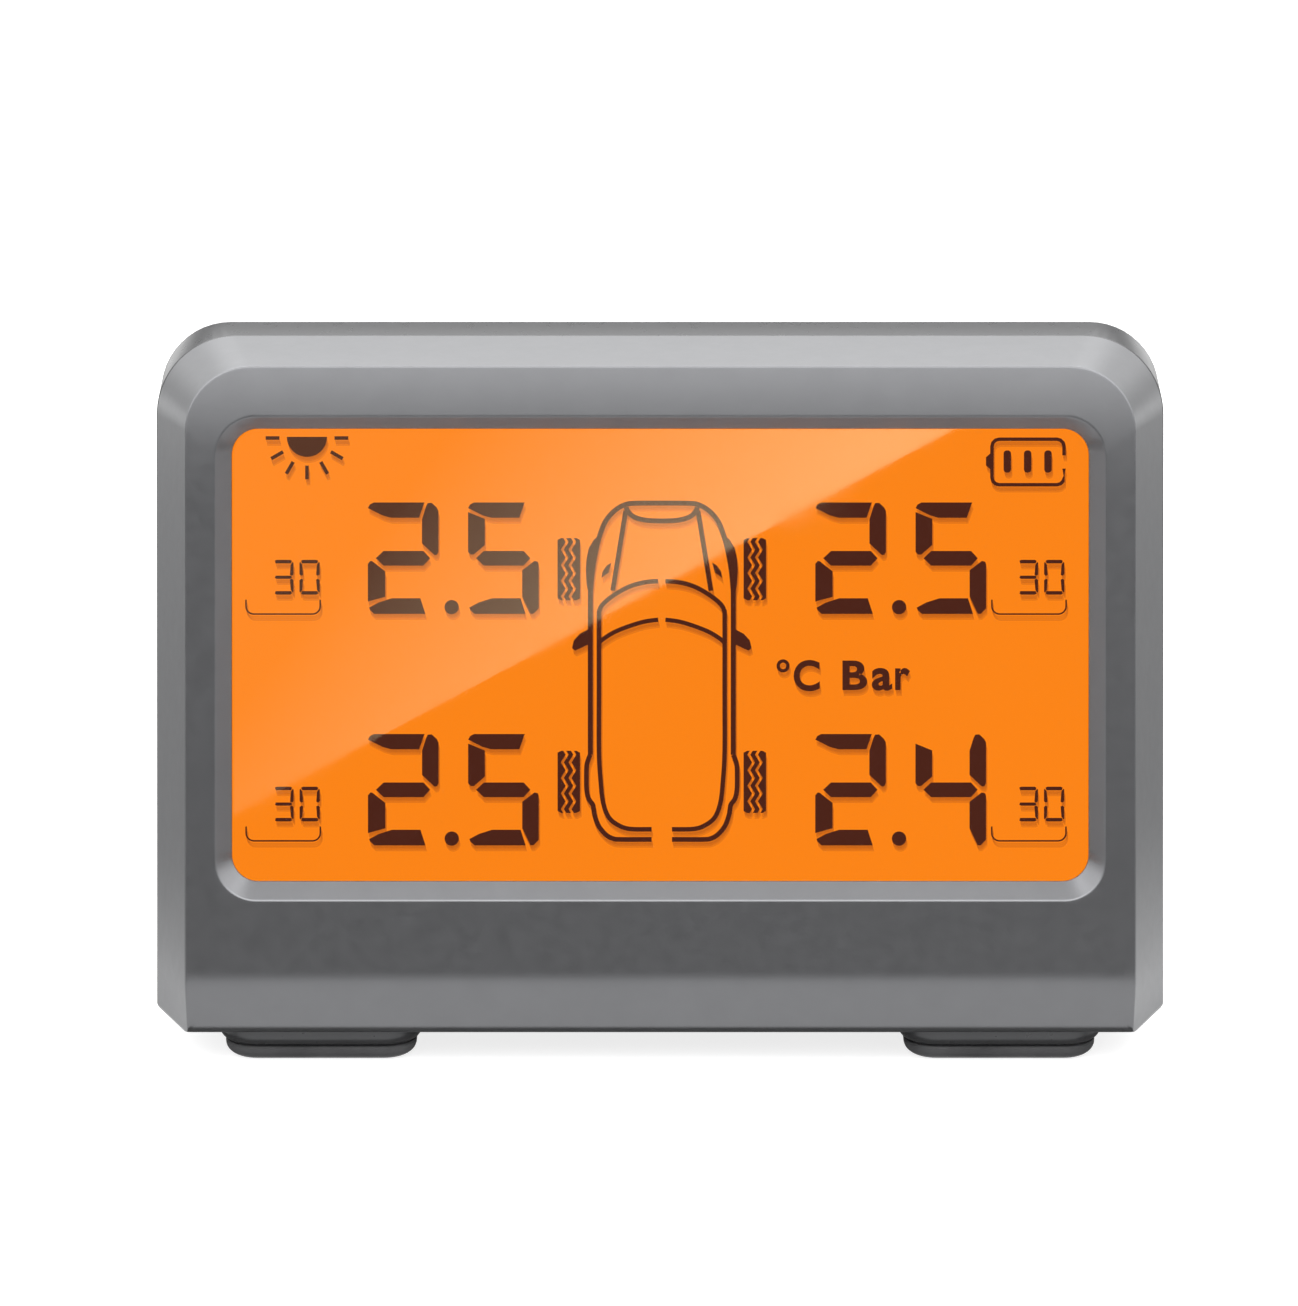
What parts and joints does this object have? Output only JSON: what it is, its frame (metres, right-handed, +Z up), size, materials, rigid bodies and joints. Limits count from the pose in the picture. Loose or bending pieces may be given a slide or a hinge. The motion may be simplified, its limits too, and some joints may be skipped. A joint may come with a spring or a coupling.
{
  "type": "tire pressure monitor",
  "caption": "Free-standing dashboard tyre pressure display: tilted backlit screen in a grey wedge-shaped case, solar panel and buttons behind, rubber-padded feet.",
  "frame": {"origin": "middle of the body's outline, on the surface that the feet stand on", "axes": "+Z up, the display faces -Y and leans back, +X to the right of a person who looks at the display"},
  "size_m": [0.085, 0.0477, 0.0581],
  "materials": {
    "casing_grey": "satin mid grey, fine moulded grain",
    "rear_grey": "satin mid grey, fine moulded grain",
    "clear_lens": "clear, polished",
    "display_film": "orange under the backlight, dark segments",
    "lcd_glass": "clear",
    "white_film": "matt white",
    "clear_acrylic": "clear, edge lit",
    "white_plastic": "matt white",
    "led_strip": "flex strip with warm LEDs",
    "black_foam": "soft matt black",
    "black_rubber": "layered conductive rubber",
    "circuit_board": "green solder mask",
    "black_chip": "matt black",
    "ceramic_chip": "tan",
    "ferrite": "dark grey",
    "copper": "lacquered copper",
    "bright_metal": "tinned, bright",
    "wire_sleeve": "soft coloured insulation",
    "battery_foil": "crinkled foil pouch",
    "screw_steel": "zinc plated",
    "switch_grey": "matt",
    "button_black": "satin black with raised marks",
    "panel_backing": "matt black",
    "solar_silicon": "dark blue-black with fine silver lines",
    "solar_window": "clear resin",
    "foot_rubber": "matt, slightly worn"
  },
  "bodies": {
    "casing": {"front_bezel": "casing_grey", "rear_shell": "rear_grey", "lens_adhesive": "black_foam", "display_lens": "clear_lens", "lcd_gasket": "black_foam", "front_polarizer": "display_film", "lcd_front_glass": "lcd_glass", "lcd_rear_glass": "lcd_glass", "rear_polarizer": "display_film", "diffuser_film": "white_film", "light_guide": "clear_acrylic", "reflector_film": "white_film", "backlight_frame": "white_plastic", "backlight_leds": "led_strip", "zebra_strip": "black_rubber", "main_board": "circuit_board", "microcontroller": "black_chip", "radio_receiver": "black_chip", "crystal": "bright_metal", "chip_components": "ceramic_chip", "power_inductor": "ferrite", "antenna_coil": "copper", "vibration_sensor": "bright_metal", "battery_socket": "white_plastic", "battery_plug": "white_plastic", "battery_leads": "wire_sleeve", "battery_cell": "battery_foil", "battery_tape": "black_foam", "solar_socket": "white_plastic", "solar_plug": "white_plastic", "solar_leads": "wire_sleeve", "main_board_screws": "screw_steel", "key_board": "circuit_board", "key_board_screws": "screw_steel", "ribbon_cable": "white_film", "ribbon_sockets": "white_plastic", "tact_switches": "black_chip", "usb_shell": "bright_metal", "usb_tongue": "black_chip", "buzzer": "black_chip", "solar_tape": "black_foam", "solar_backing": "panel_backing", "solar_cells": "solar_silicon", "solar_cover": "solar_window", "left_foot_pad": "foot_rubber", "right_foot_pad": "foot_rubber", "case_screws": "screw_steel"},
    "minus_key": {"minus_button": "button_black", "minus_plunger": "switch_grey"},
    "set_key": {"set_button": "button_black", "set_plunger": "switch_grey"},
    "plus_key": {"plus_button": "button_black", "plus_plunger": "switch_grey"}
  },
  "joints": [
    {"name": "minus_press", "type": "slide", "parent": "casing", "child": "minus_key", "axis": [0, -1, 0], "range_m": [0, 0.0004], "stiffness_N_per_m": 1500, "springref_m": -0.0002},
    {"name": "set_press", "type": "slide", "parent": "casing", "child": "set_key", "axis": [0, -1, 0], "range_m": [0, 0.0004], "stiffness_N_per_m": 1500, "springref_m": -0.0002},
    {"name": "plus_press", "type": "slide", "parent": "casing", "child": "plus_key", "axis": [0, -1, 0], "range_m": [0, 0.0004], "stiffness_N_per_m": 1500, "springref_m": -0.0002}
  ]
}
